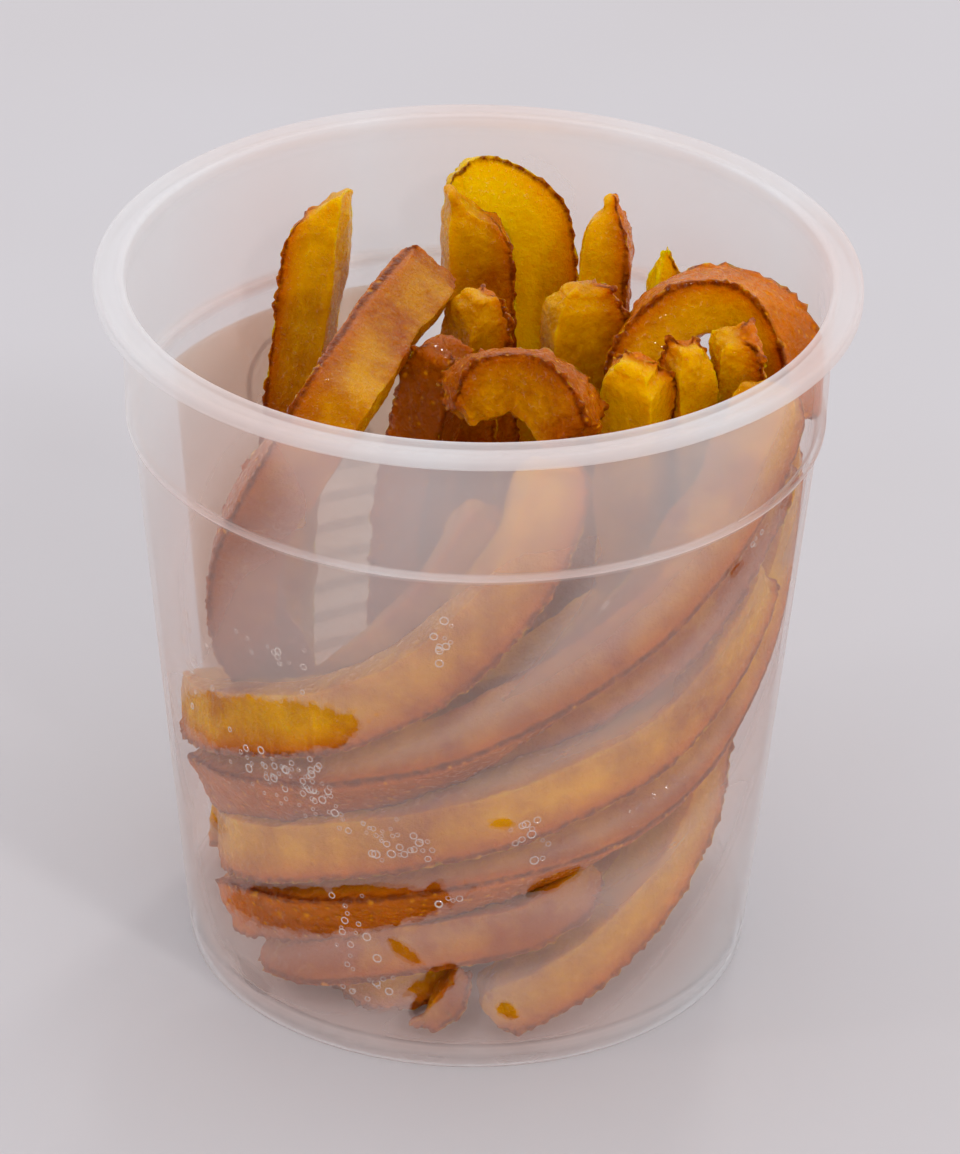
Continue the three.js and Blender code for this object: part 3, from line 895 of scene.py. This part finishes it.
                # The ring lies on the wall, a hundredth of a millimetre clear of it.
                reach = float(self.tub.inner_radius(np.array([z]))[0]) - size * self.ring_share - 0.01
                outward = Vector((math.sin(turn), -math.cos(turn), 0))
                spot = Matrix.Translation(outward * reach * MM + Vector((0, 0, z * MM)))
                face = outward.to_track_quat("Z", "Y").to_matrix().to_4x4()
                placing = spot @ face @ Matrix.Scale(size * MM, 4)
                first = len(bm.verts)
                bm.from_mesh(ring)
                bm.verts.ensure_lookup_table()
                bmesh.ops.transform(bm, matrix=placing, verts=bm.verts[first:])
        bpy.data.meshes.remove(ring)
        bmesh.ops.recalc_face_normals(bm, faces=bm.faces)
        return hand_over(bm, "syrup_bubbles", finish)


# ---------------- the peel


@dataclass(frozen=True)
class CutForm:
    """How a real strip departs from a plain bar: rounded corners, a wider rind, lumps of several
    sizes, hollow flanks, torn and blunt ends. Low down in the tub it is browned as painted shade."""

    round_share: float = 0.16
    flare: float = 0.1
    wobble_mm: float = 0.2
    pith_wobble_mm: float = 0.42
    pebble_mm: float = 0.13
    rag_mm: float = 0.4
    grit_mm: float = 0.1
    rough_mm: float = 0.16
    hollow_mm: float = 0.35
    torn_mm: float = 0.4
    blunt_mm: float = 0.6
    low_painted_shade: float = 0.35
    levels: int = 4
    buried_levels: int = 3


# How dark the syrup has cooked a strip, by its number: -1 is yellow, 0 golden and 1 brown. Others
# vary at random.
RIPENESS = {
    1: 0.55, 2: 0.35, 3: 0.05, 4: 0.65, 5: 0.4, 6: 0.4, 7: -0.55, 8: 0.15, 9: 0.7, 10: 0.1,
    11: 0.05, 12: 0.1, 13: 0.05, 15: -0.4, 16: 0.25, 18: 0.0, 19: 0.1, 24: 0.2,
}

# Strips with higher numbers are the second layer of the heap.
LAST_IN_SIGHT = 24

# Strips that are rougher than the rest, whose roughness is 1.
RAGGED = {2: 1.4, 4: 1.4, 5: 1.5, 6: 1.3, 9: 1.8, 10: 1.3, 11: 1.7, 12: 2.0, 13: 1.3, 22: 1.8}

# The corners of a node's cross ring: their angles round it, and how the ring departs from round.
SECTION_TURNS = np.radians(22.5 + 45 * np.arange(8))
SECTION_POWER = 0.55
SECTION_FLARE = 0.07


@dataclass
class Backbone:
    """A strip's centre line with the half-width and half-depth vectors along it."""

    along: np.ndarray
    centre: np.ndarray
    across: np.ndarray
    rind: np.ndarray

    def sample(self, values: np.ndarray, place: np.ndarray, domed: bool = False) -> np.ndarray:
        """Values at places along the strip: curved between its rings, straight in its end caps.

        Args:
            values: one row for each ring, end caps with them.
            place: distances from the start.
            domed: whether the values close like a dome, and not like a cone, in the end caps.

        Returns:
            One row for each place.
        """
        knots = self.along
        i = np.clip(np.searchsorted(knots, place, side="right") - 1, 0, len(knots) - 2)
        step = knots[i + 1] - knots[i]
        t = ((place - knots[i]) / step)[:, None]
        inner = np.gradient(values[1:-1], knots[1:-1], axis=0)
        slope = np.vstack([inner[:1], inner, inner[-1:]])
        step = step[:, None]
        curved = (
            (2 * t**3 - 3 * t**2 + 1) * values[i]
            + (t**3 - 2 * t**2 + t) * step * slope[i]
            + (3 * t**2 - 2 * t**3) * values[i + 1]
            + (t**3 - t**2) * step * slope[i + 1]
        )
        opening, closing = (i == 0)[:, None], (i == len(knots) - 2)[:, None]
        share = t
        if domed:
            round_in = np.sqrt(np.clip(t * (2 - t), 0, 1))
            round_out = 1 - np.sqrt(np.clip(1 - t * t, 0, 1))
            share = np.where(opening, round_in, round_out)
        capped = values[i] + (values[i + 1] - values[i]) * share
        return np.where(opening | closing, capped, curved)


@dataclass
class CandiedStrip:
    """One strip of peel, shaped from its CAD node."""

    node: str
    tub: Tub
    form: CutForm = field(default_factory=CutForm)

    @property
    def seed(self) -> int:
        """A number of the strip's own."""
        return int(self.node.split("_")[1])

    @property
    def buried(self) -> bool:
        """Whether the strip lies behind or under the others."""
        return self.seed > LAST_IN_SIGHT

    def rings(self, bm: Form) -> list[Ring]:
        """The strip's cross rings in order, from one end to the other.

        Args:
            bm: the merged copy of the node's mesh.

        Returns:
            The two end points as rings of one, and between them rings of eight in matching order.
        """
        start = next(v for v in bm.verts if len(v.link_edges) == 8)
        seen = {start}
        layers = [[start]]
        while True:
            layer = {e.other_vert(v) for v in layers[-1] for e in v.link_edges} - seen
            if not layer:
                break
            seen |= layer
            layers.append(sorted(layer, key=lambda v: v.index))
        ordered = [layers[0]]
        for layer in layers[1:-1]:
            members = set(layer)
            chain = [layer[0]]
            while len(chain) < len(layer):
                steps = [e.other_vert(chain[-1]) for e in chain[-1].link_edges]
                chain.append(next(v for v in steps if v in members and v not in chain))
            if len(ordered) > 1:
                before = ordered[-1]
                count = len(chain)
                ways = [[chain[(way + turn * i) % count] for i in range(count)]
                        for way in range(count) for turn in (1, -1)]
                chain = min(ways, key=lambda ring: sum((a.co - b.co).length for a, b in zip(before, ring)))
            ordered.append(chain)
        return ordered + [layers[-1]]

    def rind_start(self, rings: list[Ring]) -> int:
        """Finds the rind's crown: the flat that is wider than the one facing it.

        Args:
            rings: the rings, end caps with them.

        Returns:
            Which ring corner starts it.
        """
        middle = rings[3:-3] or rings[1:-1]
        count = len(middle[0])
        width = [
            sum((ring[(k + 1) % count].co - ring[k].co).length for ring in middle) for k in range(count)
        ]
        flats = [k for k in range(count) if width[k] > sum(width) / count]
        return max(flats, key=lambda k: width[k] / width[(k + count // 2) % count])

    def backbone(self, rings: list[Ring], first: int) -> Backbone:
        """Fits a centre, a half width and a half depth to every ring.

        Args:
            rings: the rings, end caps with them.
            first: which corner starts the rind's crown.

        Returns:
            The strip's backbone.
        """
        up = np.sign(np.sin(SECTION_TURNS)) * np.abs(np.sin(SECTION_TURNS)) ** SECTION_POWER
        side = np.sign(np.cos(SECTION_TURNS)) * np.abs(np.cos(SECTION_TURNS)) ** SECTION_POWER
        side *= 1 + SECTION_FLARE * up
        fit = np.linalg.pinv(np.stack([np.ones(8), side, up], axis=1))
        rows = []
        for ring in rings:
            if len(ring) == 1:
                rows.append(np.array([list(ring[0].co), [0, 0, 0], [0, 0, 0]]))
                continue
            corners = np.array([list(ring[(k + first - 1) % 8].co) for k in range(8)])
            rows.append(fit @ corners)
        rows = np.array(rows)
        steps = np.linalg.norm(np.diff(rows[:, 0], axis=0), axis=1)
        along = np.concatenate([[0.0], np.cumsum(np.maximum(steps, 1e-5))])
        return Backbone(along, rows[:, 0], rows[:, 1], rows[:, 2])

    def cage(self) -> tuple[Form, Backbone]:
        """Makes a clean quad cage of the strip.

        Returns:
            The cage, with its across, rind and along numbers on it, and the strip's backbone.
        """
        bm = bmesh.new()
        bm.from_mesh(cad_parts[self.node].data)
        bmesh.ops.remove_doubles(bm, verts=bm.verts, dist=2e-6)
        across = bm.verts.layers.float.new("across")
        rind = bm.verts.layers.float.new("rind")
        along = bm.verts.layers.float.new("along")
        bm.verts.index_update()
        rings = self.rings(bm)
        first = self.rind_start(rings)
        spine = self.backbone(rings, first)
        place: dict[bmesh.types.BMVert, tuple[int, int]] = {}
        for i, ring in enumerate(rings):
            for k, vert in enumerate(ring):
                turn = math.radians(67.5 + 45 * (k - first))
                vert[across] = math.cos(turn) if len(ring) > 1 else 0.0
                vert[rind] = math.sin(turn) if len(ring) > 1 else 0.0
                vert[along] = spine.along[i]
                place[vert] = (i, k)
        last = len(rings) - 1
        slanted = []
        for edge in bm.edges:
            (i, k), (j, m) = (place[v] for v in edge.verts)
            if i != j and k != m and not {0, last} & {i, j}:
                slanted.append(edge)
        bmesh.ops.dissolve_edges(bm, edges=slanted, use_verts=False)
        bmesh.ops.recalc_face_normals(bm, faces=bm.faces)
        return bm, spine

    def build(self, finish: Material) -> Piece:
        """Makes the strip.

        Args:
            finish: the candied peel.

        Returns:
            The strip, shaped and marked for its material.
        """
        bm, spine = self.cage()
        rough = hand_over(bm, self.node + "_cage", finish)
        smoother = rough.modifiers.new("round", "SUBSURF")
        levels = self.form.buried_levels if self.buried else self.form.levels
        smoother.levels = smoother.render_levels = levels
        graph = bpy.context.evaluated_depsgraph_get()
        mesh = bpy.data.meshes.new_from_object(rough.evaluated_get(graph))
        mesh.name = self.node + "_strip"
        bpy.data.objects.remove(rough)
        piece = place_piece(mesh.name, mesh)
        self.shape(mesh, spine)
        settle(piece, Slot.PEEL, self.node)
        return piece

    def shape(self, mesh: Mesh, spine: Backbone) -> None:
        """Gives the points the section of a knife-cut strip, roughens it, and marks it for its finish.

        Args:
            mesh: the strip's mesh.
            spine: its backbone.
        """
        form = self.form

        def lumps(size_mm: float, pattern: int) -> np.ndarray:
            """Smooth random lumps at the points as they now are."""
            return blob_noise(points, size_mm * MM, self.seed + pattern)

        across, rind, along = (read(mesh, name) for name in ("across", "rind", "along"))
        turn = np.arctan2(rind, across)
        square = np.maximum(np.abs(np.cos(turn)), np.abs(np.sin(turn)))
        out = form.round_share + (1 - form.round_share) / square
        x, y = np.cos(turn) * out, np.sin(turn) * out
        half_width = spine.sample(spine.across, along, domed=True)
        half_depth = spine.sample(spine.rind, along, domed=True)
        centre = spine.sample(spine.centre, along)
        length = spine.along[-1]
        near_end = np.minimum(along, length - along) / MM
        stride = 0.4 * MM
        forward = spine.sample(spine.centre, np.minimum(along + stride, length))
        forward = forward - spine.sample(spine.centre, np.maximum(along - stride, 0))
        forward = forward / np.maximum(np.linalg.norm(forward, axis=1), 1e-9)[:, None]
        points = centre + half_width * (x * (1 + form.flare * y))[:, None] + half_depth * y[:, None]
        # The ends are cut blunt and a little askew.
        reach = np.minimum(np.hypot(x, y), 1.4) * np.clip(near_end / 0.5, 0, 1)
        blunt = np.maximum(form.blunt_mm * (reach**2 - 0.5) + 0.8 * lumps(3.0, 40), -0.6)
        inward = np.where(along < length / 2, 1.0, -1.0) * rise(6.0, 0.3, near_end) * blunt
        points = points + forward * inward[:, None] * MM
        move(mesh, points)

        # Where each point lies: its depth below the rind in millimetres, and on which side.
        skin = (1 - np.clip(y, -1, 1)) * np.linalg.norm(spine.rind, axis=1).max() / MM
        on_rind = rise(0.8, 0.95, y)
        on_pith = rise(-0.6, -0.9, y)
        flank = rise(0.8, 0.96, np.abs(x))
        corner = rise(0.66, 0.93, np.abs(x)) * rise(1.6, 0.6, skin)
        rough = RAGGED.get(self.seed, 1.0)
        torn = rise(2.4, 0.2, near_end)
        # The rind's cut edges are toothed, the flanks hollow, and the rest is lumpy.
        push = form.wobble_mm * lumps(5, 0)
        push += form.pith_wobble_mm * on_pith * lumps(3.2, 20)
        push += form.pebble_mm * on_rind * lumps(1.2, 50)
        push += form.grit_mm * rough * lumps(0.6, 60)
        push += form.rough_mm * (rough - 1) * lumps(1.3, 65)
        push += corner * form.rag_mm * rough * (1.7 * np.abs(lumps(0.9, 70)) - 0.35)
        push -= form.hollow_mm * flank * (1 - y * y) * (0.6 + 0.4 * lumps(9, 30))
        push += form.torn_mm * torn * lumps(1.5, 80)
        points = self.tub.hold(points + points_of(mesh, "normal") * push[:, None] * MM)
        move(mesh, points)
        usual = np.random.default_rng(self.seed).uniform(-0.1, 0.4)
        tone = RIPENESS.get(self.seed, usual) + 0.25 * lumps(12, 90)
        # Painted shade: the strip is browned towards the bottom of the tub, for the dimmer light there.
        tone += form.low_painted_shade * rise(96.0, 76.0, points[:, 2] / MM)
        store(mesh, "tone", tone)
        store(mesh, "skin", skin)
        store(mesh, "rind", on_rind)
        store(mesh, "lip", np.clip(corner + 0.35 * torn * rise(2.0, 0.5, skin), 0, 1))


# ---------------- the label


@dataclass
class PaperLabel:
    """The sticker on the outside of the wall at the back left."""

    tub: Tub
    low_mm: float = 12.15
    high_mm: float = 75.35
    start: float = -167.8
    stop: float = -115.2
    proud_mm: float = 0.33
    paper_mm: float = 0.1
    wave_mm: float = 0.06
    waves: Pair = (9.0, 7.0)

    def build(self, finish: Material) -> Piece:
        """Makes the sheet flat, gives it its thickness and wraps it round the wall.

        Args:
            finish: the printed paper.

        Returns:
            The label.
        """
        bm = bmesh.new()
        bm.loops.layers.uv.new("UVMap")
        bmesh.ops.create_grid(bm, x_segments=72, y_segments=64, size=0.5, calc_uvs=True)
        for vert in bm.verts:
            across, up = vert.co.x + 0.5, vert.co.y + 0.5
            turn = math.radians(self.start + (self.stop - self.start) * across)
            z = self.low_mm + (self.high_mm - self.low_mm) * up
            wave = self.wave_mm * math.sin(across * self.waves[0]) * math.sin(up * self.waves[1])
            reach = self.tub.body_radius(z) + self.proud_mm - self.paper_mm + wave
            vert.co = Vector((reach * math.sin(turn), -reach * math.cos(turn), z)) * MM
        bmesh.ops.recalc_face_normals(bm, faces=bm.faces)
        bmesh.ops.solidify(bm, geom=bm.faces[:], thickness=self.paper_mm * MM)
        piece = hand_over(bm, "paper_label", finish)
        settle(piece, Slot.LABEL, "label")
        return piece


# ---------------- the studio


@dataclass(frozen=True)
class SoftBox:
    """One soft box: its name, where it hangs in metres, its width, its power and its colour."""

    name: str
    place: tuple[float, float, float]
    size: float
    watts: float
    code: str = "#FFFFFF"

    def hang(self) -> None:
        """Hangs it so that it faces the tub."""
        data = bpy.data.lights.new(self.name, "AREA")
        data.shape = "DISK"
        data.size = self.size
        data.energy = self.watts
        data.color = linear(self.code)[:3]
        light = bpy.data.objects.new(self.name, data)
        light.location = self.place
        light.rotation_euler = (Vector((0, 0, 0.05)) - Vector(self.place)).to_track_quat("-Z", "Y").to_euler()
        bpy.context.scene.collection.objects.link(light)


@dataclass
class Studio:
    """Floor, light and camera."""

    distance: float = 0.85
    elevation: float = 30.0
    roll: float = 1.131
    aim_mm: tuple[float, float, float] = (0.98, 0.0, 53.65)
    lens: float = 236.72
    sensor: float = 36.0
    room: str = "#F0EEF2"
    room_strength: float = 1.02
    boxes: tuple[SoftBox, ...] = (
        SoftBox("box_behind", (0.25, 0.75, 1.1), 0.16, 1.4),
        SoftBox("box_left", (-0.9, -0.3, 0.9), 0.14, 0.7, "#FDFBFF"),
        SoftBox("box_right", (0.6, -0.8, 0.9), 0.14, 2.4),
    )

    def floor(self, finish: Material) -> None:
        """Lays the paper sweep.

        Args:
            finish: the paper.
        """
        bm = bmesh.new()
        bmesh.ops.create_grid(bm, x_segments=4, y_segments=4, size=3.0)
        sheet = hand_over(bm, "paper_floor", finish)

    def lights(self) -> None:
        """Sets the room's even glow and the soft boxes."""
        world = bpy.data.worlds.new("white room")
        world.use_nodes = True
        tree = world.node_tree
        tree.nodes.clear()
        room = {"Color": linear(self.room), "Strength": self.room_strength}
        glow = add_node(tree, "ShaderNodeBackground", room)
        add_node(tree, "ShaderNodeOutputWorld", {"Surface": glow.outputs[0]})
        bpy.context.scene.world = world
        for box in self.boxes:
            box.hang()

    def camera(self) -> None:
        """Sets up the camera and a plain sRGB view, so that colours read as they are named."""
        lift = math.radians(self.elevation)
        aim = Vector(self.aim_mm) * MM
        forward = Vector((0, math.cos(lift), -math.sin(lift)))
        right = Vector((1, 0, 0))
        up = right.cross(forward)
        turn = math.radians(self.roll)
        side = right * math.cos(turn) + up * math.sin(turn)
        above = up * math.cos(turn) - right * math.sin(turn)
        data = bpy.data.cameras.new("camera")
        data.sensor_fit = "HORIZONTAL"
        data.sensor_width = self.sensor
        data.lens = self.lens
        data.clip_start = 0.05
        data.clip_end = 20
        camera = bpy.data.objects.new("camera", data)
        rotation = Matrix((side, above, -forward)).transposed().to_4x4()
        camera.matrix_world = Matrix.Translation(aim - forward * self.distance) @ rotation
        bpy.context.scene.collection.objects.link(camera)
        bpy.context.scene.camera = camera
        bpy.context.scene.view_settings.view_transform = "Standard"


def main() -> None:
    """Builds every piece in order and reports each."""
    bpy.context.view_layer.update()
    studio = Studio()
    studio.camera()
    studio.lights()
    studio.floor(BackdropFinish().make())
    tub = Tub()
    peel_finish = CandiedPeelFinish().make()
    strips = [CandiedStrip(node, tub).build(peel_finish) for node in PEEL_NODES]
    shell = tub.build(PolypropyleneFinish().make())
    film = SyrupFilm(tub)
    film.mark(shell, strips)
    settle(shell, Slot.TUB, "tub")
    bubbles = film.bubbles(SyrupFinish().make())
    settle(bubbles, Slot.PEEL)
    PaperLabel(tub).build(StickerFinish().make())


if __name__ == "__main__":
    main()
